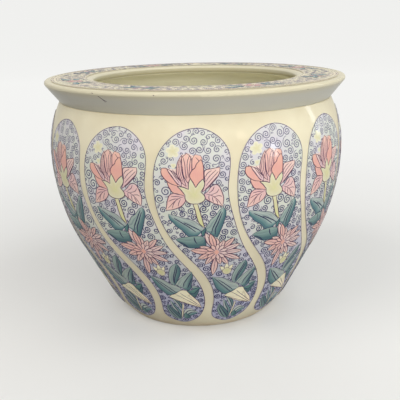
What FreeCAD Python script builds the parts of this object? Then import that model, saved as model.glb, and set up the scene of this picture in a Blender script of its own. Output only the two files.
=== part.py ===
import FreeCAD, Part
import math
import os
import Sketcher
from FreeCAD import Vector

# Round porcelain planter with a wide flat rim, standing on a turned foot ring.
# Lengths are millimetres and leans are degrees from the vertical. The pot stands on z = 0 about the Z axis,
# and the panel called panel_01 faces -Y.

SIZES = {
    # wall, from the widest line (the belly seam) up to the crease and down to the floor line
    "belly_radius": 150.5,
    "wall_thickness": 7.0,
    "shoulder_rise": 50.2,
    "shoulder_lean": 26.3,
    "belly_fall": 95.8,
    "wall_lean": 27.0,
    "cone_fall": 53.0,
    "foot_fall": 27.0,
    "foot_lean": 47.7,
    "seam_bevel": 0.8,
    # floor and foot ring
    "foot_height": 7.0,
    "foot_width": 12.0,
    "foot_bevel": 0.8,
    "floor_thickness": 8.0,
    # rim: how far it reaches out past the neck and in over the mouth
    "rim_depth": 20.7,
    "rim_overhang": 13.7,
    "rim_ledge": 36.0,
    "bead_radius": 2.5,
    "lip_radius": 5.0,
    "lip_under_radius": 4.0,
    # enamel painting: the border on the rim and the leaning panels round the wall, on a thin clear glaze
    "glaze_gap": 0.2,
    "enamel_thickness": 0.3,
    "border_lip_gap": 2.7,
    "border_bead_gap": 4.2,
    "panel_count": 13,
    "panel_top_gap": 10.8,
    "panel_bottom_gap": 13.3,
}

# Sizes that follow from the ones above, as sheet formulas in the order in which they are worked out.
DERIVED = {
    "cone_foot_height": "=Sizes.foot_fall",
    "cone_top_height": "=cone_foot_height + Sizes.cone_fall",
    "belly_height": "=cone_top_height + Sizes.belly_fall",
    "neck_height": "=belly_height + Sizes.shoulder_rise",
    "rim_top": "=neck_height + Sizes.rim_depth",
    "bevel_height": "=neck_height - Sizes.seam_bevel",
    "shoulder_curve": "=Sizes.shoulder_rise / sin(Sizes.shoulder_lean)",
    "shoulder_centre": "=Sizes.belly_radius - shoulder_curve",
    "neck_radius": "=Sizes.belly_radius - Sizes.shoulder_rise * tan(Sizes.shoulder_lean / 2)",
    "belly_curve": "=Sizes.belly_fall / sin(Sizes.wall_lean)",
    "belly_centre": "=Sizes.belly_radius - belly_curve",
    "cone_top_radius": "=Sizes.belly_radius - Sizes.belly_fall * tan(Sizes.wall_lean / 2)",
    "cone_foot_radius": "=cone_top_radius - Sizes.cone_fall * tan(Sizes.wall_lean)",
    "foot_curve": "=Sizes.foot_fall / (sin(Sizes.foot_lean) - sin(Sizes.wall_lean))",
    "foot_centre_radius": "=cone_foot_radius - foot_curve * cos(Sizes.wall_lean)",
    "foot_centre_height": "=cone_foot_height + foot_curve * sin(Sizes.wall_lean)",
    "base_radius": "=foot_centre_radius + foot_curve * cos(Sizes.foot_lean)",
    "foot_inner_radius": "=base_radius - Sizes.foot_width",
    "floor_top": "=Sizes.foot_height + Sizes.floor_thickness",
    # rim
    "rim_radius": "=neck_radius + Sizes.rim_overhang",
    "bead_centre_radius": "=rim_radius - Sizes.bead_radius",
    "bead_centre_height": "=rim_top - Sizes.bead_radius",
    "bead_reach": "=bead_centre_radius - neck_radius",
    "bead_rise": "=bead_centre_height - neck_height",
    "flare": "=atan2(bead_rise; bead_reach) - asin(Sizes.bead_radius / sqrt(bead_reach^2 + bead_rise^2))",
    "flare_end_radius": "=bead_centre_radius + Sizes.bead_radius * sin(flare)",
    "flare_end_height": "=bead_centre_height - Sizes.bead_radius * cos(flare)",
    "throat_radius": "=neck_radius - Sizes.rim_ledge",
    "lip_height": "=rim_top - Sizes.lip_radius",
    "lip_under_height": "=lip_height - Sizes.lip_under_radius",
    "shoulder_inner_curve": "=shoulder_curve - Sizes.wall_thickness",
    "neck_inner_radius": "=shoulder_centre + sqrt(shoulder_inner_curve^2 - Sizes.shoulder_rise^2)",
    "cove_radius": "=lip_under_height - neck_height",
    "border_inner_radius": "=throat_radius + Sizes.lip_radius + Sizes.border_lip_gap",
    "border_outer_radius": "=bead_centre_radius - Sizes.border_bead_gap",
}

# Outline of one painted panel, clockwise from its crown. Along is the share of the panel's height measured
# down the wall, and across is the share of the panel spacing to the right of the crown.
PANEL_RIGHT_SHARES = [
    (0.021, 0.235),
    (0.090, 0.404),
    (0.228, 0.392),
    (0.366, 0.470),
    (0.503, 0.632),
    (0.641, 0.905),
    (0.779, 1.095),
    (0.876, 1.110),
    (0.952, 0.985),
    (0.986, 0.820),
]
PANEL_FOOT_SHARES = (1.0, 0.640)
PANEL_LEFT_SHARES = [
    (0.986, 0.460),
    (0.952, 0.290),
    (0.876, 0.265),
    (0.779, 0.255),
    (0.641, 0.066),
    (0.503, -0.246),
    (0.366, -0.455),
    (0.228, -0.509),
    (0.090, -0.426),
    (0.021, -0.220),
]

# How far the faces that follow the wall stand out from its outside.
OUTSIDE = "0"
INSIDE = "-Sizes.wall_thickness"
GLAZE = "Sizes.glaze_gap"
ENAMEL = "(Sizes.glaze_gap + Sizes.enamel_thickness)"

doc = FreeCAD.newDocument("planter")


def fill_sheet(name, cells):
    """Make a sheet with one aliased cell per entry, the entry's name beside it."""
    sheet = doc.addObject("Spreadsheet::Sheet", name)
    for row, (alias, content) in enumerate(cells.items(), start=1):
        sheet.set(f"A{row}", alias)
        sheet.set(f"B{row}", str(content))
        sheet.setAlias(f"B{row}", alias)
    doc.recompute()
    return sheet


sizes = fill_sheet("Sizes", SIZES)
fill_sheet("Derived", DERIVED)


def number(expression):
    """Value of a formula over the two sheets."""
    value = sizes.evalExpression(expression)
    return float(getattr(value, "Value", value))


def origin_plane(body, role):
    """The body's own origin plane with that role."""
    return next(item for item in body.Origin.OriginFeatures if item.Role == role)


def new_body(label):
    """Empty body for one sub-part."""
    body = doc.addObject("PartDesign::Body", label)
    body.Label = label
    return body


def new_sketch(body, name, plane):
    """Sketch on one of the body's origin planes."""
    sketch = body.newObject("Sketcher::SketchObject", name)
    sketch.AttachmentSupport = [(origin_plane(body, plane), "")]
    sketch.MapMode = "FlatFace"
    return sketch


def bound(sketch, constraint, expression):
    """Add a constraint whose value follows the sheets."""
    index = sketch.addConstraint(constraint)
    sketch.setExpression(f"Constraints[{index}]", expression)


# How a sketch numbers the points of an edge, and its own two axes, whose level one starts at the origin.
START_INDEX, END_INDEX, CENTRE_INDEX = 1, 2, 3
LEVEL_AXIS_INDEX, UPRIGHT_AXIS_INDEX = -1, -2
ORIGIN_INDEX = (LEVEL_AXIS_INDEX, START_INDEX)


def arc_between(start, end, radius, side):
    """Short arc from start to end; side is 1 when its centre lies left of the way travelled, else -1."""
    chord = end - start
    left = Vector(-chord.y, chord.x, 0).normalize()
    half_chord = chord.Length / 2
    centre = (start + end) / 2 + left * (side * math.sqrt(radius**2 - half_chord**2))
    first, last = (start, end) if side > 0 else (end, start)
    from_angle = math.atan2(first.y - centre.y, first.x - centre.x)
    to_angle = math.atan2(last.y - centre.y, last.x - centre.x)
    if to_angle < from_angle:
        to_angle += math.tau
    return Part.ArcOfCircle(Part.Circle(centre, Vector(0, 0, 1), radius), from_angle, to_angle)


def pin_point(sketch, edge, end, radius, height):
    """Hold one end of an edge at a radius and a height, either of which may be the axis or the floor."""
    if radius == "0":
        sketch.addConstraint(Sketcher.Constraint("PointOnObject", edge, end, UPRIGHT_AXIS_INDEX))
    else:
        bound(sketch, Sketcher.Constraint("DistanceX", *ORIGIN_INDEX, edge, end, number(radius)), radius)
    if height == "0":
        sketch.addConstraint(Sketcher.Constraint("PointOnObject", edge, end, LEVEL_AXIS_INDEX))
    else:
        bound(sketch, Sketcher.Constraint("DistanceY", *ORIGIN_INDEX, edge, end, number(height)), height)


def draw_section(sketch, corners):
    """Closed outline of radius and height. Each corner is (radius, height) and may add (arc radius, side)
    for the edge that leaves it; without them the edge is straight."""
    points = [Vector(number(corner[0]), number(corner[1]), 0) for corner in corners]
    ends = []
    for place, corner in enumerate(corners):
        start = points[place]
        end = points[(place + 1) % len(points)]
        if len(corner) == 2:
            edge = sketch.addGeometry(Part.LineSegment(start, end), False)
            ends.append((edge, START_INDEX, END_INDEX))
            continue
        edge = sketch.addGeometry(arc_between(start, end, number(corner[2]), corner[3]), False)
        ends.append((edge, START_INDEX, END_INDEX) if corner[3] > 0 else (edge, END_INDEX, START_INDEX))
    for place, corner in enumerate(corners):
        edge, start_end, _ = ends[place]
        before, _, finish_end = ends[place - 1]
        sketch.addConstraint(Sketcher.Constraint("Coincident", before, finish_end, edge, start_end))
        pin_point(sketch, edge, start_end, corner[0], corner[1])
        if len(corner) > 2:
            bound(sketch, Sketcher.Constraint("Radius", edge, number(corner[2])), corner[2])


def turned_body(label, corners):
    """Body made by turning a section of radius and height once round the Z axis."""
    body = new_body(label)
    sketch = new_sketch(body, label + "_section", "XZ_Plane")
    draw_section(sketch, corners)
    turning = body.newObject("PartDesign::Revolution", label + "_turning")
    turning.Profile = sketch
    turning.ReferenceAxis = (sketch, ["V_Axis"])
    turning.Angle = 360
    doc.recompute()
    return body


def on_shoulder(height, offset=OUTSIDE):
    """Radius of the shoulder at a height, on the face that stands out by the offset."""
    curve = f"(Derived.shoulder_curve + {offset})"
    return f"Derived.shoulder_centre + sqrt({curve}^2 - ({height} - Derived.belly_height)^2)"


def on_foot_curve(height, offset=OUTSIDE):
    """Radius of the foot curve at a height, on the face that stands out by the offset."""
    curve = f"(Derived.foot_curve + {offset})"
    return f"Derived.foot_centre_radius + sqrt({curve}^2 - (Derived.foot_centre_height - {height})^2)"


def cone_corner(end, offset):
    """One end of the straight part of the wall, cone_top or cone_foot, moved square to it by the offset."""
    return (f"Derived.{end}_radius + {offset} * cos(Sizes.wall_lean)",
            f"Derived.{end}_height - {offset} * sin(Sizes.wall_lean)")


def wall_upwards(offset):
    """Corners of a face of the wall from the top of the foot curve up to the start of the belly curve."""
    return [
        cone_corner("cone_foot", offset),
        (*cone_corner("cone_top", offset), f"Derived.belly_curve + {offset}", 1),
    ]


def wall_downwards(offset):
    """Corners of a face of the wall from the belly seam down to the top of the foot curve."""
    return [
        (f"Sizes.belly_radius + {offset}", "Derived.belly_height", f"Derived.belly_curve + {offset}", -1),
        cone_corner("cone_top", offset),
        (*cone_corner("cone_foot", offset), f"Derived.foot_curve + {offset}", -1),
    ]


def foot_ring():
    """Turned ring that the pot stands on; its outside carries on the curve of the wall."""
    return turned_body("foot_ring", [
        ("Derived.foot_inner_radius", "0"),
        ("Derived.base_radius - Sizes.foot_bevel", "0"),
        (on_foot_curve("Sizes.foot_bevel"), "Sizes.foot_bevel", "Derived.foot_curve", 1),
        (on_foot_curve("Sizes.foot_height"), "Sizes.foot_height"),
        ("Derived.foot_inner_radius", "Sizes.foot_height"),
    ])


def lower_bowl():
    """Floor and lower wall in one, up to the seam at the widest line."""
    return turned_body("lower_bowl", [
        ("0", "Sizes.foot_height"),
        (on_foot_curve("Sizes.foot_height"), "Sizes.foot_height", "Derived.foot_curve", 1),
        *wall_upwards(OUTSIDE),
        ("Sizes.belly_radius", "Derived.belly_height"),
        *wall_downwards(INSIDE),
        (on_foot_curve("Derived.floor_top", INSIDE), "Derived.floor_top"),
        ("0", "Derived.floor_top"),
    ])


def upper_wall():
    """Shoulder of the pot, from the seam at the widest line up to the crease under the rim."""
    return turned_body("upper_wall", [
        ("Sizes.belly_radius - Sizes.wall_thickness", "Derived.belly_height"),
        ("Sizes.belly_radius", "Derived.belly_height", "Derived.shoulder_curve", 1),
        (on_shoulder("Derived.bevel_height"), "Derived.bevel_height"),
        ("Derived.neck_radius - Sizes.seam_bevel", "Derived.neck_height"),
        ("Derived.neck_inner_radius", "Derived.neck_height", "Derived.shoulder_inner_curve", -1),
    ])


def rim_flange():
    """Rim ring: flat top, round bead outside, round lip inside, and a flared underside on the crease."""
    return turned_body("rim_flange", [
        ("Derived.neck_inner_radius", "Derived.neck_height"),
        ("Derived.neck_radius", "Derived.neck_height"),
        ("Derived.flare_end_radius", "Derived.flare_end_height", "Sizes.bead_radius", 1),
        ("Derived.bead_centre_radius", "Derived.rim_top"),
        ("Derived.throat_radius + Sizes.lip_radius", "Derived.rim_top", "Sizes.lip_radius", 1),
        ("Derived.throat_radius", "Derived.lip_height", "Sizes.lip_under_radius", 1),
        ("Derived.throat_radius + Sizes.lip_under_radius", "Derived.lip_under_height"),
        ("Derived.neck_inner_radius - Derived.cove_radius", "Derived.lip_under_height",
         "Derived.cove_radius", -1),
    ])


def rim_border():
    """Painted band on the flat of the rim."""
    body = new_body("rim_border")
    sketch = new_sketch(body, "rim_border_rings", "XY_Plane")
    sketch.setExpression("AttachmentOffset.Base.z", "Derived.rim_top + Sizes.glaze_gap")
    for radius in ("Derived.border_outer_radius", "Derived.border_inner_radius"):
        ring = sketch.addGeometry(Part.Circle(Vector(), Vector(0, 0, 1), number(radius)), False)
        sketch.addConstraint(Sketcher.Constraint("Coincident", ring, CENTRE_INDEX, *ORIGIN_INDEX))
        bound(sketch, Sketcher.Constraint("Radius", ring, number(radius)), radius)
    pad = body.newObject("PartDesign::Pad", "rim_border_pad")
    pad.Profile = sketch
    pad.setExpression("Length", "Sizes.enamel_thickness")
    doc.recompute()
    return body


def enamel_skin():
    """Closed skin of enamel over the whole wall, from which the panels are cut."""
    return turned_body("enamel_skin", [
        (on_foot_curve("Sizes.foot_height", GLAZE), "Sizes.foot_height"),
        (on_foot_curve("Sizes.foot_height", ENAMEL), "Sizes.foot_height",
         f"Derived.foot_curve + {ENAMEL}", 1),
        *wall_upwards(ENAMEL),
        (f"Sizes.belly_radius + {ENAMEL}", "Derived.belly_height", f"Derived.shoulder_curve + {ENAMEL}", 1),
        (on_shoulder("Derived.bevel_height", ENAMEL), "Derived.bevel_height"),
        (on_shoulder("Derived.bevel_height", GLAZE), "Derived.bevel_height",
         f"Derived.shoulder_curve + {GLAZE}", -1),
        *wall_downwards(GLAZE),
    ])


def wall_runs():
    """Lengths down the outside of the wall: shoulder, belly curve, cone and foot curve."""
    wall_lean = math.radians(number("Sizes.wall_lean"))
    return [
        math.radians(number("Sizes.shoulder_lean")) * number("Derived.shoulder_curve"),
        wall_lean * number("Derived.belly_curve"),
        number("Sizes.cone_fall") / math.cos(wall_lean),
        (math.radians(number("Sizes.foot_lean")) - wall_lean) * number("Derived.foot_curve"),
    ]


def wall_point(along):
    """Radius and height on the outside of the wall, a length down it from the crease."""
    shoulder, belly, cone, _ = wall_runs()
    wall_lean = math.radians(number("Sizes.wall_lean"))
    if along < shoulder:
        curve = number("Derived.shoulder_curve")
        angle = (shoulder - along) / curve
        return (number("Derived.shoulder_centre") + curve * math.cos(angle),
                number("Derived.belly_height") + curve * math.sin(angle))
    along -= shoulder
    if along < belly:
        curve = number("Derived.belly_curve")
        angle = along / curve
        return (number("Derived.belly_centre") + curve * math.cos(angle),
                number("Derived.belly_height") - curve * math.sin(angle))
    along -= belly
    if along < cone:
        return (number("Derived.cone_top_radius") - along * math.sin(wall_lean),
                number("Derived.cone_top_height") - along * math.cos(wall_lean))
    curve = number("Derived.foot_curve")
    angle = wall_lean + (along - cone) / curve
    return (number("Derived.foot_centre_radius") + curve * math.cos(angle),
            number("Derived.foot_centre_height") - curve * math.sin(angle))


def panel_outline():
    """Front view of one panel's outline, as a smooth closed curve in the XZ plane."""
    top_gap = number("Sizes.panel_top_gap")
    panel_run = sum(wall_runs()) - top_gap - number("Sizes.panel_bottom_gap")
    pitch = math.tau / number("Sizes.panel_count")
    points = []
    for along, across in [(0, 0), *PANEL_RIGHT_SHARES, PANEL_FOOT_SHARES, *PANEL_LEFT_SHARES]:
        radius, height = wall_point(top_gap + along * panel_run)
        points.append(Vector(radius * math.sin(across * pitch), 0, height))
    curve = Part.BSplineCurve()
    curve.interpolate(Points=points, PeriodicFlag=True)
    outline = doc.addObject("Part::Feature", "panel_outline")
    outline.Shape = Part.Wire(curve.toShape())
    return outline


def panels():
    """The painted panels: one outline cut forwards out of the enamel skin and turned round to each place."""
    skin = enamel_skin()
    block = doc.addObject("Part::Extrusion", "panel_block")
    block.Base = panel_outline()
    block.DirMode = "Custom"
    block.Dir = Vector(0, -1, 0)
    block.setExpression("LengthFwd", "Derived.rim_radius")
    block.Solid = True
    made = []
    for place in range(int(number("Sizes.panel_count"))):
        panel = doc.addObject("Part::Common", f"panel_{place + 1:02d}")
        panel.Base = skin
        panel.Tool = block
        panel.setExpression("Placement.Rotation.Angle", f"{place} * 360 / Sizes.panel_count")
        made.append(panel)
    doc.recompute()
    return made


parts = [foot_ring(), lower_bowl(), upper_wall(), rim_flange(), rim_border(), *panels()]
doc.recompute()

for item in doc.Objects:
    if {"Invalid", "Error"} & set(item.State):
        raise RuntimeError(f"{item.Label}: {item.State}")
for part in parts:
    if part.Shape.isNull() or not part.Shape.isValid() or not part.Shape.Solids:
        raise RuntimeError(f"{part.Label}: no valid solid")

os.makedirs("parts", exist_ok=True)
for part in parts:
    part.Shape.exportStep(f"parts/{part.Label}.step")
    print(part.Label, len(part.Shape.Solids), round(part.Shape.Volume))
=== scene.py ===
import math
from dataclasses import dataclass, replace

import bpy
import numpy as np
from mathutils import Matrix, Vector


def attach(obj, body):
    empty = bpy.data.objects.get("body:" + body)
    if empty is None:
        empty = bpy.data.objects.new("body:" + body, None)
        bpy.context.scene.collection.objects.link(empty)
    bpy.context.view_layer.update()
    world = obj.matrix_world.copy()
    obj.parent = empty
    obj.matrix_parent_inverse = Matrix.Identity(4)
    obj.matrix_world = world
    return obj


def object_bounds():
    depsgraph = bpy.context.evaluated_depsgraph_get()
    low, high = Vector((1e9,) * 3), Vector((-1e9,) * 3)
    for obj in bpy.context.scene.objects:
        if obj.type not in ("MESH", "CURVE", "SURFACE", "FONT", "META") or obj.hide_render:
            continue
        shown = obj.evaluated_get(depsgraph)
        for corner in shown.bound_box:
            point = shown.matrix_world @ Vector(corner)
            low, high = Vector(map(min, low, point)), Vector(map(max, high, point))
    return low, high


# Glazed porcelain planter with leaning painted panels, a painted rim and a bare foot.
# Drawings are in millimetres and degrees. An angle is counted from the front, to the right as the pot
# is seen from outside. Blender's own lengths are metres.

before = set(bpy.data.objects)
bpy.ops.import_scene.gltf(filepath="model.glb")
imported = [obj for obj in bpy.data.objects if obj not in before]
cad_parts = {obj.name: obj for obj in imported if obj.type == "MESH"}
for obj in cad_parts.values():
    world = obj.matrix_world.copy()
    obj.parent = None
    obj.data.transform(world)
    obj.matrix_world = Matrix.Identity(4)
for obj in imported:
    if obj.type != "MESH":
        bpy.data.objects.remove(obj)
cad_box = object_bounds()

MM = 0.001
PANEL_COUNT = 13
PANEL_PITCH = 360 / PANEL_COUNT
# Usual width of one degree on the painted faces, for shapes that need no better.
DEGREE_WIDTH = 2.4

# Heights of enamel over the face that it is laid on.
SUNK = 0.05
INK_HEIGHT = 0.10
SUNK_IN_PAD = 0.01
INK_ON_PAD = 0.04
PAD_FOOT = 0.12
PAD_DOME = 0.02
LAYER_STEP = 0.06
PAD_DEPTH = 0.05

# Mesh of a pad: length of a row, least and most rows, and columns.
ROW_LENGTH = 2.2
ROWS = (8, 26)
COLUMNS = 6
# Rings of a bloom's pad, as shares of its reach: three on the top and one under it.
BLOOM_RINGS = (0.3, 0.65, 1.0, 0.6)
# Steps of an inked edge, and of a vein.
EDGE_STEPS = 24
VEIN_POINTS = 14
# Share of its full width that a brush line keeps at its ends.
LINE_TIP = 0.45
# Part of a pad's own cell in the map that stays empty on each side.
CELL_MARGIN = 0.05


def srgb(red, green, blue):
    """Colour as Blender's shaders want it, from the 0 to 255 values that a screen shows."""
    linear = [((c / 255 + 0.055) / 1.055) ** 2.4 if c > 10 else c / 255 / 12.92 for c in (red, green, blue)]
    return (*linear, 1.0)


class TurnedFace:
    """An outside face of the pot, as the radii and heights of its section in millimetres, in the order that
    goes out over the rim and down the wall. A place on it is an angle and a run from the section's start."""

    def __init__(self, radii, heights):
        self.radii = np.array(radii, float)
        self.heights = np.array(heights, float)
        steps = np.hypot(np.diff(self.radii), np.diff(self.heights))
        self.runs = np.concatenate([[0], np.cumsum(steps)])
        outwards = np.gradient(self.radii, self.runs)
        upwards = np.gradient(self.heights, self.runs)
        size = np.hypot(outwards, upwards)
        self.normal_out = -upwards / size
        self.normal_up = outwards / size

    def places(self, angles, runs, lift):
        """Points in metres that stand off the face by the lift."""
        radius = np.interp(runs, self.runs, self.radii) + lift * np.interp(runs, self.runs, self.normal_out)
        height = np.interp(runs, self.runs, self.heights) + lift * np.interp(runs, self.runs, self.normal_up)
        turn = np.radians(angles)
        return np.stack([radius * np.sin(turn), -radius * np.cos(turn), height], -1) * MM

    def degree(self, runs):
        """Millimetres that one degree spans at a run."""
        return np.radians(np.interp(runs, self.runs, self.radii))

    def scale(self, runs):
        """Millimetres to one step of the angle and of the run."""
        return np.stack([self.degree(runs), np.ones(len(runs))], -1)


def node_section(name):
    """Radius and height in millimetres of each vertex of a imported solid."""
    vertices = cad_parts[name].data.vertices
    places = np.zeros(len(vertices) * 3)
    vertices.foreach_get("co", places)
    x, y, z = places.reshape(-1, 3).T / MM
    return np.hypot(x, y), z


def panel_face():
    """Outside of the painted panels: the section's bulging side, from the crown down."""
    radius, height = node_section("panel_01")
    order = np.argsort(-height, kind="stable")
    hull = []
    for point in zip(radius[order], height[order]):
        while len(hull) > 1:
            (r0, z0), (r1, z1) = hull[-2:]
            if (r1 - r0) * (point[1] - z0) - (point[0] - r0) * (z1 - z0) < 0:
                break
            hull.pop()
        hull.append(point)
    radii, heights = zip(*hull)
    return TurnedFace(radii, heights)


def flare_face():
    """Flared underside of the rim, from the bead down to the crease."""
    seam_depth = 0.5
    half_bead = 1.2
    radius, height = node_section("rim_flange")
    crease = radius[height < height.min() + seam_depth].max()
    outer = (radius > crease - 0.01) & (height < height[radius.argmax()] - half_bead)
    top = height[outer].argmax()
    return TurnedFace([radius[outer][top], crease], [height[outer][top], height.min()])


def rim_face():
    """Flat top of the painted border, from its inner edge outwards."""
    radius, height = node_section("rim_border")
    return TurnedFace([radius.min(), radius.max()], [height.max(), height.max()])


def bead_face():
    """Outermost part of the rim's bead, from its top down to the flare."""
    inner_radius = 152
    radius, height = node_section("rim_flange")
    outer = radius > inner_radius
    places = sorted({(round(z, 1), round(r, 1)) for r, z in zip(radius[outer], height[outer])}, reverse=True)
    heights, radii = zip(*places)
    return TurnedFace(radii, heights)


def smooth_curve(points, count):
    """Evenly spaced places on a soft curve through some points."""
    points = np.array(points, float)
    before = np.vstack([2 * points[0] - points[1], points, 2 * points[-1] - points[-2]])
    share = np.linspace(0, 1, 9)[:-1, None]
    rows = []
    for a, b, c, d in zip(before, before[1:], before[2:], before[3:]):
        bend = (2 * a - 5 * b + 4 * c - d) * share**2 + (3 * b - a - 3 * c + d) * share**3
        rows.append(b + ((c - a) * share + bend) / 2)
    return even_places(np.vstack([*rows, points[-1:]]), count)


def even_places(path, count, scale=1):
    """Places at even steps along a path of straight stretches."""
    length = np.concatenate([[0], np.cumsum(np.hypot(*(np.diff(path, axis=0) * scale).T))])
    wanted = np.linspace(0, length[-1], count)
    return np.stack([np.interp(wanted, length, path[:, axis]) for axis in (0, 1)], -1)


def signed_area(outline):
    """Area inside a closed outline, below zero where it runs the way that faces out of the pot."""
    x, y = np.array(outline).T
    return (x * np.roll(y, -1) - np.roll(x, -1) * y).sum() / 2


@dataclass
class Blade:
    """Petal or leaf of enamel, drawn round from its base up the left, over the tip and down the right.
    Places are degrees across and millimetres down from the crown of the panel. A vein is a share of the
    width or a path. Bare is the share of the edges that stays without ink, from the base on."""
    base: tuple
    left: list
    tip: tuple
    right: list
    paint: str
    tone: float
    layer: int = 0
    veins: tuple = ()
    bare: float = 0.0
    line: float = 0.85

    def drawn(self, count):
        """Both drawn edges as smooth curves, each from the base to the tip."""
        return [smooth_curve([self.base, *side, self.tip], count) for side in (self.left, self.right[::-1])]

    def flipped(self):
        """Whether the edges have to change places for the shape to face out of the pot."""
        left, right = self.drawn(9)
        return signed_area(np.vstack([left, right[::-1]])) > 0

    def edges(self, count):
        """Both edges in the order that faces out of the pot."""
        return self.drawn(count)[::-1] if self.flipped() else self.drawn(count)

    def outline(self):
        """Closed outline, for keeping the scrolls off it."""
        left, right = self.edges(15)
        return np.vstack([left, right[-2:0:-1]])

    def ink_paths(self):
        """Edges to be inked, without the bare stretch near the base."""
        return [edge[round(self.bare * EDGE_STEPS):] for edge in self.edges(EDGE_STEPS + 1)]

    def sheet(self):
        """Places on the shape with their share along and across it, the faces of its top and of its
        underside, and the first place that only the underside has."""
        left, right = self.edges(3)
        middle = (left[1] + right[1]) / 2
        length = sum(np.hypot(*((middle - end) * [DEGREE_WIDTH, 1])) for end in (left[0], left[2]))
        rows = int(np.clip(length / ROW_LENGTH, *ROWS))
        left, right = self.edges(rows + 1)
        along = np.linspace(0, 1, rows + 1)[1:-1]
        across = np.linspace(0, 1, COLUMNS + 1)
        charts, shares = [[left[0], left[-1]]], [[(0, 0.5), (1, 0.5)]]
        grids, first = [], 2
        for steps in (across, across[1:-1]):
            grid = left[1:-1, None] * (1 - steps[:, None]) + right[1:-1, None] * steps[:, None]
            charts.append(grid.reshape(-1, 2))
            shares.append(np.stack(np.meshgrid(along, steps, indexing="ij"), -1).reshape(-1, 2))
            grids.append(first + np.arange(len(along) * len(steps)).reshape(len(along), len(steps)))
            first += grids[-1].size
        above, below = grids
        below = np.column_stack([above[:, 0], below, above[:, -1]])
        top, under = [], []
        for grid, faces in ((above, top), (below, under)):
            faces += [(0, a, b) for a, b in zip(grid[0], grid[0][1:])]
            for here, there in zip(grid, grid[1:]):
                faces += zip(here, there, there[1:], here[1:])
            faces += [(1, b, a) for a, b in zip(grid[-1], grid[-1][1:])]
        shares = np.vstack(shares)
        if self.flipped():
            shares[:, 1] = 1 - shares[:, 1]
        return np.vstack(charts), shares, top, [face[::-1] for face in under], 2 + above.size


@dataclass
class Bloom:
    """Star of enamel round a centre: arcs from corner to corner, each starting where the last one ends."""
    centre: tuple
    arcs: list
    paint: str
    tone: float
    layer: int = 0
    veins: tuple = ()
    line: float = 0.85

    def outline(self):
        """Closed outline."""
        ring = np.vstack([smooth_curve(arc, 9)[:-1] for arc in self.arcs])
        return ring[::-1] if signed_area(ring) > 0 else ring

    def ink_paths(self):
        """Edges to be inked."""
        return [smooth_curve(arc, 17) for arc in self.arcs]

    def sheet(self):
        """Places on the shape with their share out and round it, the faces of its top and of its
        underside, and the first place that only the underside has."""
        ring = self.outline()
        centre = np.array(self.centre)
        number = len(ring)
        around = np.arange(number) / number
        charts, shares = [[centre]], [[(0, 0.5)]]
        for reach in BLOOM_RINGS:
            charts.append(centre + reach * (ring - centre))
            shares.append(np.column_stack([np.full(number, reach), around]))
        charts.append([centre])
        shares.append([(0, 0.5)])
        inner, middle, edge, below = 1 + np.arange(4 * number).reshape(4, number)
        last = 1 + 4 * number
        top = list(zip(np.zeros(number, int), inner, np.roll(inner, -1)))
        for near, far in ((inner, middle), (middle, edge)):
            top += zip(near, far, np.roll(far, -1), np.roll(near, -1))
        under = list(zip(np.full(number, last), np.roll(below, -1), below))
        under += zip(below, np.roll(below, -1), np.roll(edge, -1), edge)
        return np.vstack(charts), np.vstack(shares), top, under, 1 + 3 * number


def lens(base, tip, width, paint, tone, layer=0, belly=0.55, **more):
    """Simple petal or leaf between two points, widest at the belly's share of its length."""
    start, end = np.array(base, float), np.array(tip, float)
    way = (end - start) * [DEGREE_WIDTH, 1]
    side = np.array([-way[1], way[0]]) / np.hypot(*way) / [DEGREE_WIDTH, 1]
    edges = []
    for hand in (1, -1):
        points = []
        for share in (0.18, 0.4, 0.6, 0.82):
            swell = math.sin(math.pi * share ** (math.log(0.5) / math.log(belly)))
            points.append(tuple(start + (end - start) * share + side * hand * width / 2 * swell))
        edges.append(points)
    return Blade(base, edges[0], tip, edges[1][::-1], paint, tone, layer, **more)


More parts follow.
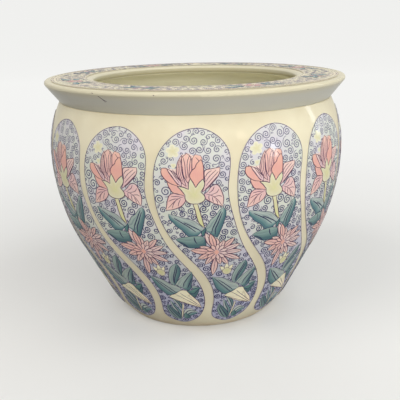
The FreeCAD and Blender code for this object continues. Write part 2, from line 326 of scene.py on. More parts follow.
class Strokes:
    """Raised strokes of enamel on one turned face, gathered into one mesh."""

    def __init__(self, face, centre=0.0):
        self.face = face
        self.centre = centre
        self.points = []
        self.maps = []
        self.brush = []
        self.faces = []
        self.paints = []
        self.soft = []
        self.count = 0

    def gather(self, points, maps, brush, faces, paint, soft):
        """Add one closed stroke. Soft says which faces share their shading with their neighbours."""
        self.points.append(points)
        self.maps.append(maps)
        self.brush.append(brush)
        self.faces.extend([tuple(int(corner) + self.count for corner in face) for face in faces])
        self.paints.extend([paint] * len(faces))
        self.soft.extend(soft)
        self.count += len(points)

    def line(self, path, width, lift=0.0, tone=0.5, on_pad=False, closed=False):
        """Brush line with two feet in the enamel and a crest between them."""
        path = np.asarray(path, float)
        number = len(path)
        span = self.face.degree(path[:, 1])
        if closed:
            way = np.roll(path, -1, 0) - np.roll(path, 1, 0)
        else:
            way = np.gradient(path, axis=0)
        way = way * self.face.scale(path[:, 1])
        way /= np.maximum(np.hypot(*way.T), 1e-9)[:, None]
        share = np.linspace(0, 1, number)
        swell = LINE_TIP + (1 - LINE_TIP) * np.sqrt(np.sin(np.pi * share).clip(0))
        half = width / 2 * (np.ones(number) if closed else swell)
        side = np.stack([-way[:, 1] * half / span, way[:, 0] * half], -1)
        height, foot = (INK_ON_PAD, -SUNK_IN_PAD) if on_pad else (INK_HEIGHT, -SUNK)
        rings = []
        for chart, rise in ((path + side, foot), (path, height), (path - side, foot)):
            rings.append(self.face.places(chart[:, 0] + self.centre, chart[:, 1], lift + rise))
        points = np.stack(rings, 1).reshape(-1, 3)
        maps = np.stack([path + side, path, path - side], 1).reshape(-1, 2)
        brush = np.repeat(np.stack([share, np.zeros(number), np.full(number, tone)], -1), 3, 0)
        faces, soft = [], []
        for ring in range(number if closed else number - 1):
            here, there = 3 * ring, 3 * ((ring + 1) % number)
            for a, b in ((0, 1), (1, 2), (2, 0)):
                faces.append((here + a, there + a, there + b, here + b))
                soft.append(a < 2)
        if not closed:
            last = 3 * (number - 1)
            faces += [(0, 1, 2), (last, last + 2, last + 1)]
            soft += [False, False]
        self.gather(points, maps, brush, faces, 0, soft)

    def pad(self, shape, paint, cell, cells):
        """Thin pad of enamel with a slightly domed top and a flat underside."""
        chart, share, top, under, first_below = shape.sheet()
        rise = PAD_FOOT + LAYER_STEP * shape.layer
        if isinstance(shape, Blade):
            dome = 1 - (2 * share[:, 1] - 1) ** 2
            dome[:2] = 0
        else:
            dome = 1 - share[:, 0] ** 2
        lift = rise + PAD_DOME * dome
        lift[first_below:] = rise - PAD_DEPTH
        corner = np.array(divmod(cell, cells))
        maps = (corner + CELL_MARGIN + (1 - 2 * CELL_MARGIN) * share) / cells
        brush = np.column_stack([share[:, 0], 2 * share[:, 1] - 1, np.full(len(share), shape.tone)])
        points = self.face.places(chart[:, 0] + self.centre, chart[:, 1], lift)
        self.gather(points, maps, brush, top + under, paint, [True] * len(top) + [False] * len(under))

    def build(self, name, materials, slot):
        """Make the piece that carries these strokes. The edges of its hard faces are sharp."""
        mesh = bpy.data.meshes.new(name)
        mesh.from_pydata(np.vstack(self.points).tolist(), [], self.faces)
        mesh.polygons.foreach_set("material_index", np.array(self.paints, np.int32))
        mesh.polygons.foreach_set("use_smooth", np.array(self.soft))
        corners, edges = np.zeros((2, len(mesh.loops)), np.int32)
        mesh.loops.foreach_get("vertex_index", corners)
        mesh.loops.foreach_get("edge_index", edges)
        hard = np.repeat(np.logical_not(self.soft), [len(face) for face in self.faces])
        sharp = np.zeros(len(mesh.edges), bool)
        sharp[edges[hard]] = True
        mesh.edges.foreach_set("use_edge_sharp", sharp)
        maps = np.vstack(self.maps)
        if maps.max() > 1:
            maps = (maps - maps.min(0)) / (maps.max(0) - maps.min(0)).max()
        mesh.uv_layers.new(name="OFBake").data.foreach_set("uv", maps[corners].ravel())
        brush = mesh.attributes.new("brush", "FLOAT_VECTOR", "POINT")
        brush.data.foreach_set("vector", np.vstack(self.brush).ravel())
        for material in materials:
            mesh.materials.append(material)
        mesh.update()
        piece = bpy.data.objects.new(name, mesh)
        bpy.context.scene.collection.objects.link(piece)
        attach(piece, "root")


def panel_outline(face):
    """Outline of a painted panel in degrees and millimetres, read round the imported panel's face."""
    least_outwards = 0.3
    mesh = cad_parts["panel_01"].data
    steps = set()
    for polygon in mesh.polygons:
        centre = Vector((polygon.center.x, polygon.center.y, 0)).normalized()
        if polygon.normal.dot(centre) < least_outwards:
            continue
        corners = [tuple(round(c, 6) for c in mesh.vertices[index].co) for index in polygon.vertices]
        steps.update(zip(corners, corners[1:] + corners[:1]))
    following = {a: b for a, b in steps if (b, a) not in steps}
    point = max(following, key=lambda corner: corner[2])
    loop = []
    while point in following:
        loop.append(point)
        point = following.pop(point)
    x, y, z = np.array(loop).T / MM
    angles = np.degrees(np.arctan2(x, -y))
    return np.stack([angles, np.interp(-z, -face.heights, face.runs)], -1)


def inset_outline(face, outline, inset):
    """Evenly spaced outline that lies a little inside of another one."""
    loop = np.vstack([outline, outline[:1]])
    even = even_places(loop, 241, face.scale(outline[:, 1]))[:-1]
    way = (np.roll(even, -2, 0) - np.roll(even, 2, 0)) * face.scale(even[:, 1])
    way /= np.hypot(*way.T)[:, None]
    hand = 1 if signed_area(even) > 0 else -1
    return even + hand * inset * np.stack([-way[:, 1], way[:, 0]], -1) / face.scale(even[:, 1])


def inside(polygon, angles, runs):
    """Which of the places lie inside a closed polygon."""
    found = np.zeros(len(angles), bool)
    for (u0, v0), (u1, v1) in zip(polygon, np.roll(polygon, -1, 0)):
        if v0 == v1:
            continue
        crosses = (v0 > runs) != (v1 > runs)
        found ^= crosses & (angles < u0 + (runs - v0) * (u1 - u0) / (v1 - v0))
    return found


def edge_distance(face, polygon, angles, runs):
    """Millimetres from each place to the polygon."""
    across = (angles[:, None] - polygon[None, :, 0]) * face.degree(runs)[:, None]
    return np.hypot(across, runs[:, None] - polygon[None, :, 1]).min(1)


def room_beside(face, shapes, angles, runs, room):
    """What is left of the room at each place once some shapes are kept clear, below zero inside of them."""
    tuck = 0.9
    for shape in shapes:
        away = edge_distance(face, shape, angles, runs) + tuck
        room = np.where(inside(shape, angles, runs), -1, np.minimum(room, away))
    return room


# Scrolls: clearance of one from an edge, least size, size to one turn, least and most turns, and share of
# them that wind the first way.
SCROLL_GAP = 0.3
LEAST_SCROLL = 1.0
TURN_SIZE = 1.75
TURNS = (0.7, 2.1)
FIRST_WAY = 0.6
# Spreading them: places tried and kept, room that one needs, rounds of settling, side of the squares that
# measure a field with the share of them that it fills, and area of a scroll in squared spacings.
TRIES = 12000
KEPT_TRIES = 4200
LEAST_ROOM = 0.5
ROUNDS = 14
SQUARE = 2.5
FILLED = 0.86
SCROLL_AREA = 0.87
# Small curls: places tried, room that one needs, clearance from its neighbours and from an edge, greatest
# size, and turns.
CURL_TRIES = 2600
CURL_ROOM = 1.2
CURL_GAP = 1.1
CURL_EDGE = 0.4
CURL_SIZE = 1.6
CURL_TURNS = 1.1


def scroll_path(face, angle, run, radius, room, turns, start, hand):
    """Spiral of a painted scroll from its eye outwards, with a tail that swings clear where it has room."""
    eye, tail_start, longest_tail = 0.06, 0.9, 0.35
    least_points, turn_points = 8, 14
    share = np.linspace(0, 1, int(least_points + turn_points * turns))
    turn = start - hand * math.tau * turns * (1 - share)
    tail = np.clip((room - SCROLL_GAP) / radius - 1, 0, longest_tail)
    swing = 1 + tail * np.clip(share - tail_start, 0, 1) / (1 - tail_start)
    reach = radius * (eye + (1 - eye) * share) * swing
    return np.stack([angle + reach * np.cos(turn) / face.degree(run), run + reach * np.sin(turn)], -1)


def settled_places(face, low, high, clear, spacing, random):
    """Evenly spread places in the clear part of a field: seeds that move to the middle of their share."""
    tries = random.uniform(low, high, (TRIES, 2))
    span = face.degree(tries[:, 1])
    tries = tries[(random.uniform(0, span.max(), len(tries)) < span)]
    tries = tries[clear(tries[:, 0], tries[:, 1]) > LEAST_ROOM][:KEPT_TRIES]
    field = tries * face.scale(tries[:, 1])
    covered = len(np.unique(np.floor(field / SQUARE), axis=0)) * SQUARE**2 * FILLED
    seeds = field[: int(covered / (SCROLL_AREA * spacing**2))]
    for _ in range(ROUNDS):
        owner = np.hypot(*(field[:, None] - seeds[None]).transpose(2, 0, 1)).argmin(1)
        share = np.bincount(owner, minlength=len(seeds)).clip(1)
        seeds = np.stack([np.bincount(owner, field[:, axis], len(seeds)) / share for axis in (0, 1)], -1)
    return seeds / face.scale(seeds[:, 1])


def draw_scrolls(strokes, low, high, clear, tone, spacing, random, fine=1.0):
    """Fill a field with spirals that touch each other, and the gaps between them with small curls."""
    face = strokes.face
    places = settled_places(face, low, high, clear, spacing, random)
    apart = np.hypot((places[:, None, 0] - places[None, :, 0]) * face.degree(places[:, 1])[:, None],
                     places[:, None, 1] - places[None, :, 1])
    np.fill_diagonal(apart, 99)
    rooms = clear(places[:, 0], places[:, 1])
    sizes = np.minimum(np.sort(apart, 1)[:, :3].mean(1) / 2, rooms - SCROLL_GAP)
    chosen = sizes > LEAST_SCROLL
    kept = np.column_stack([places, sizes])[chosen]
    for (angle, run, size), room in zip(kept, rooms[chosen]):
        hand = 1 if random.uniform() < FIRST_WAY else -1
        turns = np.clip(size / TURN_SIZE, *TURNS)
        path = scroll_path(face, angle, run, size, room, turns, random.uniform(0, math.tau), hand)
        shade = tone(run)
        strokes.line(path, fine * (1.0 + 0.06 * size + 0.45 * shade), tone=shade)
    gaps = random.uniform(low, high, (CURL_TRIES, 2))
    for (angle, run), room in zip(gaps, clear(gaps[:, 0], gaps[:, 1])):
        if room < CURL_ROOM:
            continue
        away = (np.hypot((kept[:, 0] - angle) * face.degree(run), kept[:, 1] - run) - kept[:, 2]).min()
        if away < CURL_GAP:
            continue
        size = min(away, CURL_SIZE, room - CURL_EDGE)
        kept = np.vstack([kept, (angle, run, size)])
        path = scroll_path(face, angle, run, size, room, CURL_TURNS, random.uniform(0, math.tau), 1)
        shade = tone(run)
        strokes.line(path, fine * (0.9 + 0.35 * shade), tone=shade)


# The large blossom: the soft mass behind its petals, the petals from back to front, then the calyx.
BLOSSOM = [
    Bloom((-3, 42),
          [[(1.5, 55), (2.4, 46), (2.4, 33), (1.8, 25), (0.6, 23), (-0.8, 23.4)],
           [(-0.8, 23.4), (-2.4, 21.6), (-4.2, 23)],
           [(-4.2, 23), (-5.6, 28), (-6.2, 34), (-6.8, 35.5), (-9.6, 33.8)],
           [(-9.6, 33.8), (-8.6, 42), (-6, 50), (-3, 57), (1.5, 55)]], "petal", 0.2, line=0),
    Blade((-1.6, 50), [(-3.6, 42), (-4.2, 33), (-4.4, 26)], (-2.6, 21.5),
          [(-1.2, 26), (-1.1, 33), (-1.2, 42)], "petal", 0.62, layer=1,
          veins=(((-3.8, 25), (-3.3, 31), (-3.2, 37), (-3, 44)),
                 ((-1.5, 22.5), (-2.3, 27), (-2.6, 32), (-2.5, 37), (-2.9, 43)),
                 ((-1.2, 24), (-1.6, 29), (-1.9, 36), (-2.4, 43)))),
    Blade((-3, 50), [(-5, 45), (-6, 38), (-5.8, 31), (-5.2, 27)], (-4.3, 23),
          [(-4.3, 30), (-4.3, 37), (-3.7, 44)], "petal", 0.5, layer=1, veins=(0.35, 0.68)),
    Blade((-0.3, 44), [(-0.9, 37), (-1, 30), (-0.8, 26)], (0, 22.8), [(1.7, 23.6), (2.3, 28), (1.6, 35)],
          "petal", 0.82, layer=1, veins=(((0.2, 25), (1.3, 29), (0.4, 33)),), bare=0.2, line=0.5),
    Blade((0, 51.5), [(-1, 45.8), (-1.9, 41), (-1.2, 36.5), (-0.1, 34), (0.5, 30.5)], (1.9, 27),
          [(2.5, 31), (2.65, 38), (2.5, 45), (1.4, 49)], "petal", 1.0, layer=2),
    Blade((-4.6, 50), [(-6.2, 46.5), (-7.6, 41)], (-9.4, 34.4), [(-7.2, 37.5), (-6, 42), (-4.7, 46)],
          "petal", 0.12, layer=1,
          veins=(((-8.2, 35.5), (-6.7, 41), (-5.2, 47)), ((-7.4, 35.5), (-6.1, 39.5), (-4.6, 45.5)))),
    Blade((-3.7, 58), [(-5.6, 57.2), (-7.4, 55.6), (-8.4, 52), (-9, 48.4)], (-9.2, 45.3),
          [(-7.6, 48), (-6, 49.2), (-4.6, 53)], "petal", 0.9, layer=2, bare=0.1),
    Blade((-5.4, 49.6), [(-7.6, 48), (-9.2, 45.4), (-10.4, 42.2), (-11.1, 38.2)], (-10.9, 34.4),
          [(-9.4, 34.2), (-8.5, 38), (-7.2, 43), (-6.2, 46.8)], "petal", 0.95, layer=3, bare=0.05),
    Blade((-3.6, 58.4), [(-5.4, 57), (-6.9, 56), (-8.5, 57.6), (-9.3, 62), (-9.7, 67)], (-10.1, 72),
          [(-8.2, 71.5), (-6, 69.6), (-4.6, 67.4), (-3.6, 64), (-3.3, 61)], "petal", 0.45, layer=2,
          veins=(((-3.9, 59), (-6.4, 62.2), (-9.3, 70)), ((-4.8, 59.4), (-6.5, 58.9), (-8.1, 59.2)),
                 ((-5.6, 61), (-7.4, 61.6), (-9, 63.6)), ((-5, 61.5), (-5.6, 64.6), (-5.9, 68)),
                 ((-6.6, 62.8), (-7.4, 66), (-7.9, 70)))),
    Blade((2, 55.6), [(2.7, 51), (3, 45), (2.8, 38.6), (3.4, 35.8), (5, 35.2)], (7.9, 34),
          [(7.8, 38.4), (7, 42.6), (5.6, 46.8), (4.2, 51)], "petal", 0.3, layer=1,
          veins=(((3.1, 42), (4, 38.6), (5.2, 36.6)), ((3.3, 46), (4.6, 41.2), (6.7, 36.2)),
                 ((3.3, 49.8), (5, 44.4), (7.4, 37.6)), ((3.1, 53), (5, 47.8), (7.3, 41)))),
    Blade((2.8, 57), [(4, 54.6), (5, 50.6), (6.2, 48.6), (7.5, 50.2), (8.4, 55), (9.1, 61.5)], (8.8, 69),
          [(7.5, 67.6), (5.9, 66), (4.4, 63.6), (3, 61)], "petal", 0.25, layer=2,
          veins=(((3.2, 56.9), (5.3, 58.8), (7.2, 63), (8.5, 68)), ((4.2, 56.4), (5.4, 54), (6, 50.6)),
                 ((5, 57.9), (6.8, 56), (7.5, 53)), ((6, 59.8), (7.6, 59), (8.5, 60)),
                 ((4.3, 58.3), (4.2, 60.5), (4.4, 62.9)), ((5.3, 59.8), (5.5, 62.5), (5.7, 65)),
                 ((6.4, 62.2), (7, 64.6), (7.1, 66.6)))),
    Bloom((-0.4, 57.5),
          [[(0.6, 65.8), (1.8, 64.6), (2.8, 62.6), (3, 60), (2.5, 57.6), (1.6, 55.2)],
           [(1.6, 55.2), (2.6, 51), (2.9, 47.5), (2.4, 43.6)], [(2.4, 43.6), (1, 47.2), (0, 51.2)],
           [(0, 51.2), (-0.8, 46.6), (-1.7, 43)], [(-1.7, 43), (-2.3, 47.4), (-2.3, 52.6)],
           [(-2.3, 52.6), (-4, 50.6), (-6, 49.8)], [(-6, 49.8), (-4.8, 53), (-3.5, 57.6)],
           [(-3.5, 57.6), (-3.5, 61), (-2.8, 64), (-1.4, 65.8), (0.6, 65.8)]], "cream", 0.72, layer=3),
]


def rosette(centre, radius, count, turn, tone):
    """Faint blossom of round petals, without outlines."""
    petal = ((0, 0.7), (0.25, 1.0), (0.5, 1.06), (0.75, 1.0), (1, 0.7))
    crown_degree = 2.5
    arcs = []
    for number in range(count):
        arc = []
        for share, reach in petal:
            angle = turn + math.tau * (number + share) / count
            arc.append((centre[0] + reach * radius * math.cos(angle) / crown_degree,
                        centre[1] + reach * radius * math.sin(angle)))
        arcs.append(arc)
    arcs[-1][-1] = arcs[0][0]
    return Bloom(centre, arcs, "cream", tone, line=0)


# The faint pale blossoms near the crown.
PALE_BLOSSOM = [rosette((-7.2, 20), 5.4, 5, 0.2, 0.62), rosette((-7, 32), 2.2, 3, 0.5, 0.62)]

# The stem under the blossom, and the leaves at its foot.
UPPER_LEAVES = [
    Blade((2.6, 91), [(1.2, 86.6), (-1, 82), (-3.6, 79.8), (-6, 78)], (-9.4, 75.6),
          [(-9.2, 80), (-8, 84), (-6.8, 88), (-5.2, 91.4), (-4, 95), (-3.2, 97.6), (-0.5, 98.6)], "leaf",
          0.24,
          veins=(((-7.6, 79.4), (-5, 84), (-2.7, 88.2), (-0.3, 93.4)),
                 ((-4.4, 83.8), (-0.4, 89.4), (1.6, 93))), line=0.5),
    Blade((2.8, 100), [(1.4, 98), (-1, 97.8), (-3.5, 98.6), (-6, 99.6)], (-7.6, 101.6),
          [(-6.2, 105.2), (-4.8, 108), (-3.6, 110.2), (-2, 111), (1, 110.6), (3.2, 109.6)], "leaf", 0.72,
          layer=1,
          veins=(((-6.4, 103.6), (-4.6, 106.6), (-3.2, 110)), ((-1, 99), (-0.7, 103), (0, 106))),
          line=0.55),
    Blade((2.6, 92), [(3.2, 88.4), (4.1, 84.6), (4.8, 81.4), (6.2, 78.4), (7, 75.6), (8, 72)],
          (9.1, 70.2),
          [(9.9, 73), (10, 78), (9.4, 84), (9, 88), (8.3, 93), (7.6, 98), (6.9, 100.4), (5.6, 98),
           (4.4, 94.6)], "leaf", 0.5,
          veins=(((8.3, 73.4), (7.4, 79), (6.4, 85), (5.6, 90), (5.1, 95)),
                 ((8.7, 75), (8, 80), (7.2, 86), (6.5, 91), (6.4, 97))), line=0.6),
    Blade((2.8, 89.5), [(2.1, 82), (1.5, 76), (0.9, 70)], (0.5, 65.5),
          [(-0.9, 66), (-0.3, 72), (0.1, 78), (1, 85)], "cream", 0.85, layer=1,
          veins=(((1.2, 71.5), (1.9, 80), (2.6, 88)),)),
    Blade((3, 89), [(2.4, 91.5), (1.6, 94)], (2.1, 98.5), [(2.8, 96), (3.2, 92)], "leaf", 1.0, layer=2),
]

STAR_CENTRE = (7.2, 116.5)
# Tips of the star flower's petals, with their widths and tones.
STAR_PETALS = [
    ((2.9, 94.5), 6.0, 0.12), ((4.6, 95.6), 5.5, 0.85), ((7, 100.6), 5.5, 0.4), ((9.9, 103.4), 5.0, 0.3),
    ((13.6, 101.6), 5.5, 0.55), ((15.9, 109), 5.0, 0.12), ((16.9, 117), 5.0, 0.1), ((16.8, 127), 5.0, 0.25),
    ((12.2, 132.6), 5.0, 0.4), ((9, 131.8), 5.0, 0.45), ((6.2, 146), 6.0, 0.45), ((3, 131), 5.0, 0.4),
    ((0.2, 123.6), 6.0, 0.7), ((-2.4, 113.5), 6.5, 0.75), ((0.9, 109.2), 5.5, 0.4),
]

# The bud at the star flower's foot.
BUD = [
    lens((11.8, 143), (9.0, 134.6), 4.2, "cream", 0.42, layer=3, line=0.5),
    lens((11.8, 143), (14.2, 133.6), 4.2, "cream", 0.42, layer=3, line=0.5),
    lens((11.8, 143), (11.6, 130.8), 4.4, "cream", 0.46, layer=4, line=0.5),
    Bloom((11.9, 141),
          [[(12.8, 138), (11.8, 137), (10.8, 138)], [(10.8, 138), (10, 141), (10.7, 144.6)],
           [(10.7, 144.6), (12, 146.4), (13.4, 145.4)], [(13.4, 145.4), (14, 141), (12.8, 138)]],
          "cream", 0.8, layer=5, line=0.5),
]

# The fan of leaves at the bottom, with the pale furled leaf across it.
LOWER_LEAVES = [
    Blade((24.2, 165), [(24.4, 161.5), (25.6, 161.8)], (27.4, 163.6), [(26.2, 165), (25.2, 166.6)],
          "leaf", 0.3),
    Blade((19.4, 163.4), [(17.4, 159.6), (18, 156), (19.2, 152), (20.6, 148.4), (22.2, 145)], (24.9, 141),
          [(25.1, 146), (24.9, 151), (24.5, 156), (24.1, 161), (23.8, 166), (22.2, 168.6)], "leaf", 0.4,
          veins=(((24.6, 143.6), (23.2, 148.6), (22, 153.4), (20.9, 158.4), (20.5, 163)),
                 ((24.6, 150), (23.6, 157), (22.4, 164.4))), line=0.6),
    Blade((16.6, 160.6), [(15.7, 159.2), (15, 155), (14.8, 150), (15.1, 145), (15.8, 139.6), (17, 134)],
          (19.2, 129.6),
          [(20.3, 133.6), (20.6, 138), (20.2, 144), (19.4, 149), (18.5, 153.4), (17.6, 157.6)], "leaf",
          0.52, layer=1,
          veins=(((19.1, 132.6), (18.2, 140), (17.3, 146.4), (16.8, 152), (16.6, 157)),
                 ((19.6, 134), (18.8, 141), (17.8, 147.6), (17.2, 153), (16.9, 157.6))), line=0.6),
    Blade((21.8, 168.8), [(23.2, 169), (24.4, 167.8), (26, 165.6)], (27.9, 163),
          [(27.5, 168), (26.9, 173), (25.4, 180), (23.8, 177.6), (22.4, 173.4)], "leaf", 1.0, layer=1,
          veins=(0.5,), line=0.5),
    Blade((18.8, 168.6),
          [(19.4, 166.8), (18.5, 163.4), (17, 160.6), (15.2, 158.8), (13.2, 154.8), (11.4, 152),
           (9, 150.2)], (6, 148.8),
          [(6.5, 154.6), (7.4, 161), (8.4, 166.6), (9.8, 169.8), (11, 173), (12.4, 175.4), (14.6, 174.6)],
          "leaf", 0.3, layer=2,
          veins=(((7, 150.6), (9, 156.6), (11.5, 163), (13.5, 168), (15.6, 173)),
                 ((8.6, 153.4), (11.5, 159), (14, 164.6), (16.6, 170.6))), line=0.6),
    Blade((17.8, 214.8), [(18.1, 206), (18.7, 198)], (19.2, 188.5),
          [(19.8, 191), (19.3, 200), (18.9, 207)], "cream", 0.42, layer=2, line=0.5),
    Blade((12.7, 178),
          [(14, 175), (15.7, 173.8), (17.5, 171), (18.6, 168.8), (20.1, 167.6), (21.8, 169),
           (22.6, 172.4), (24, 176.6), (25.6, 181), (27.4, 186)], (29, 195),
          [(14, 180.6), (15.6, 182), (17.6, 185.2), (19.6, 187.4), (22, 190), (24.5, 192), (27, 194)],
          "cream", 0.25, layer=3,
          veins=(((16, 173.6), (19, 178.6), (22, 184), (25, 189), (28.4, 194.4)),
                 ((18.7, 172.4), (21, 178), (23.6, 183), (26, 188), (28.3, 192.4))), line=0.6),
    Blade((18.6, 199), [(17.4, 195.6), (16, 190.6), (14.8, 185.4)], (13.9, 180.4),
          [(15.8, 182), (17.6, 186), (18.6, 191)], "leaf", 0.28, veins=(0.5,), line=0.5),
    Blade((17.8, 213), [(15.6, 205), (13.8, 197), (12.9, 190)], (12.6, 183),
          [(14.4, 188), (16, 194.4), (17.8, 201)], "leaf", 0.15, layer=1, veins=(0.5,), line=0.5),
    Blade((17.2, 215.6), [(14, 213), (11.8, 208), (10.4, 202), (9.9, 196)], (10.9, 189.6),
          [(12.6, 194), (14.4, 198.4), (16.2, 203.6), (17.4, 209.6)], "leaf", 0.7, layer=2,
          veins=(((11.2, 193), (13, 200), (15, 206.4), (16.8, 213)), 0.7), line=0.5),
    Blade((19.2, 210), [(19.4, 203), (20.6, 198.6), (23, 197)], (27.2, 202.6),
          [(25, 207), (22.6, 209.6), (20.8, 211)], "leaf", 0.05, veins=(0.4, 0.7), line=0.5),
    Blade((19.3, 213.6), [(19.3, 208)], (20.2, 203.6), [(22, 207.6), (23, 212), (21, 214)], "leaf", 0.95,
          layer=1, line=0.5),
]


def star_flower():
    """Ring of slender petals round the star flower's eye, with a ring of short ones inside."""
    petals = []
    for number, (tip, width, tone) in enumerate(STAR_PETALS):
        petals.append(lens(STAR_CENTRE, tip, width, "petal", 0.8 * tone, 2 + number % 2, belly=0.62,
                           veins=(0.5,), bare=0.1, line=1.0))
    x, y = STAR_CENTRE
    short_petals = 11
    for number in range(short_petals):
        turn = math.tau * (number + 0.4) / short_petals
        tip = (x + 4.4 * math.cos(turn), y + 9.5 * math.sin(turn))
        tone = 0.32 - 0.3 * math.cos(turn)
        petals.append(lens(STAR_CENTRE, tip, 3.6, "petal", tone, layer=4, belly=0.6, line=0.8))
    eye = Bloom(STAR_CENTRE, [[(x + 1, y), (x, y + 3), (x - 1, y)], [(x - 1, y), (x, y - 3), (x + 1, y)]],
                "petal", 1.0, layer=5, line=0)
    return [*petals, eye]


PANEL_SHAPES = [*PALE_BLOSSOM, *UPPER_LEAVES, *BLOSSOM, *star_flower(), *BUD, *LOWER_LEAVES]
PAINTS = ["petal", "leaf", "cream"]
INK_TONES = {"petal": 0.08, "leaf": 1.0, "cream": 0.2}
VEIN_WIDTHS = {"petal": 0.62, "leaf": 1.15, "cream": 0.7}


def vein_path(shape, vein):
    """Path of a vein: its own, or up a blade at a share of the width."""
    if isinstance(vein, tuple):
        return smooth_curve(vein, VEIN_POINTS)
    left, right = shape.edges(15)
    return (left * (1 - vein) + right * vein)[2:-2]


def draw_shapes(fills, inks, shapes, fine=1.0):
    """Lay the filled shapes, their outlines and their veins."""
    cells = math.ceil(math.sqrt(len(shapes)))
    for number, shape in enumerate(shapes):
        fills.pad(shape, PAINTS.index(shape.paint), number, cells)
        lift = PAD_FOOT + LAYER_STEP * shape.layer
        tone = INK_TONES[shape.paint] * fine
        if shape.line:
            for path in shape.ink_paths():
                inks.line(path, fine * shape.line, lift, tone, on_pad=True)
        width = fine * VEIN_WIDTHS[shape.paint]
        for vein in shape.veins:
            inks.line(vein_path(shape, vein), width, lift + PAD_DOME, tone, on_pad=True)


def moved(shape, shift):
    """The same shape with each of its points moved by the painter's hand."""
    def shifted(points):
        if len(points) == 2 and isinstance(points[0], (int, float)):
            return tuple(np.array(points) + shift(*points))
        return type(points)(shifted(point) for point in points)

    if isinstance(shape, Bloom):
        return replace(shape, centre=shifted(shape.centre), arcs=shifted(shape.arcs))
    veins = tuple(vein if isinstance(vein, float) else shifted(vein) for vein in shape.veins)
    return replace(shape, base=shifted(shape.base), tip=shifted(shape.tip), left=shifted(shape.left),
                   right=shifted(shape.right), veins=veins)


def hand_of(random):
    """Slow wander of a painter's hand over one panel, in degrees and millimetres."""
    phases = random.uniform(0, math.tau, 4)

    def shift(angle, run):
        return np.array([
            0.35 * math.sin(run / 19 + phases[0]) + 0.15 * math.sin(angle / 3 + phases[1]),
            0.9 * math.sin(angle / 4 + phases[2]) + 0.6 * math.sin(run / 23 + phases[3]),
        ])

    return shift


def build_painting(name, scrolls, fills, inks, paints, slot):
    """Make the three pieces of one painted field."""
    scrolls.build(name + "_scrolls", [paints["scroll_ink"]], slot)
    fills.build(name + "_flowers", [paints[paint] for paint in PAINTS], slot)
    inks.build(name + "_outlines", [paints["line_ink"]], slot)


def painted_panel(number, face, outline, paints):
    """Scrolls, flowers and outlines of one panel. The front one is drawn with a still hand."""
    random = np.random.default_rng(number)
    centre = (number - 1) * PANEL_PITCH
    shapes = PANEL_SHAPES
    if number > 1:
        hand = hand_of(random)
        shapes = [moved(shape, hand) for shape in PANEL_SHAPES]
    outlines = [shape.outline() for shape in shapes]
    edge = inset_outline(face, outline, 0)
    depth = outline[:, 1].max()

    def clear(angles, runs):
        room = np.where(inside(edge, angles, runs), edge_distance(face, edge, angles, runs), -1)
        return room_beside(face, outlines, angles, runs, room)

    scrolls = Strokes(face, centre)
    draw_scrolls(scrolls, outline.min(0), outline.max(0), clear, lambda run: run / depth, spacing=7.6,
                 random=random)
    fills = Strokes(face, centre)
    inks = Strokes(face, centre)
    inks.line(inset_outline(face, outline, 0.5), 0.85, tone=0.3, closed=True)
    draw_shapes(fills, inks, shapes)
    build_painting(f"panel_{number:02d}", scrolls, fills, inks, paints, "panel_enamel")


# Middles of the groups in the rim's painting, as degrees round it: flowers between two pairs of leaves, and
# pairs of leaves with a small petal above and below.
RIM_FLOWERS = (-156, -66, 24, 114)
RIM_LEAVES = (-111, -21, 69, 159)
# Middle of the painted border, in millimetres out from its inner edge.
RIM_MIDDLE = 15


def rim_blades():
    """Flowers and leaves of the border, in degrees round the rim and millimetres out from its inner edge."""
    petals = 7
    rim_degree = 2.2
    blades = []
    for angle in RIM_FLOWERS:
        centre = (angle, RIM_MIDDLE)
        for number in range(petals):
            turn = math.tau * number / petals + 0.3
            length = 8.5 if number % 2 else 10
            tip = (angle + length * math.cos(turn) / rim_degree, RIM_MIDDLE + length * math.sin(turn) * 0.95)
            blades.append(lens(centre, tip, 6.5, "petal", 0.3 + 0.5 * (number % 2), number % 2, belly=0.6,
                               veins=(0.5,), bare=0.1))
        blades.append(lens((angle, 12.5), (angle, 17.5), 5, "cream", 0.8, layer=2, belly=0.5, line=0.4))
        for side, lean in ((-1, 6), (-1, -4), (1, 5), (1, -5)):
            root = (angle + side * 4.2, RIM_MIDDLE + lean * 0.4)
            tip = (angle + side * (13.5 if lean > 0 else 11.5), RIM_MIDDLE + lean * 1.7)
            tone = 0.6 if side > 0 else 0.45
            blades.append(lens(root, tip, 6.5, "leaf", tone, belly=0.45, veins=(0.5,)))
    for angle in RIM_LEAVES:
        root = (angle, RIM_MIDDLE)
        for side, lean in ((-1, 3), (1, 6), (1, -4), (-1, -7)):
            tip = (angle + side * 8.5, RIM_MIDDLE + lean * 1.5)
            tone = 0.65 if side < 0 else 0.5
            blades.append(lens(root, tip, 6.0, "leaf", tone, int(lean > 0), belly=0.45, veins=(0.5,)))
        blades.append(lens(root, (angle - 2.5, 23), 4.5, "petal", 0.4, layer=1))
        blades.append(lens(root, (angle + 2.5, 8), 4.5, "petal", 0.3, layer=1))
    return blades


def ring_path(run, count=240):
    """Full turn round a face at one run."""
    return np.stack([np.linspace(-180, 180, count, endpoint=False), np.full(count, run)], -1)


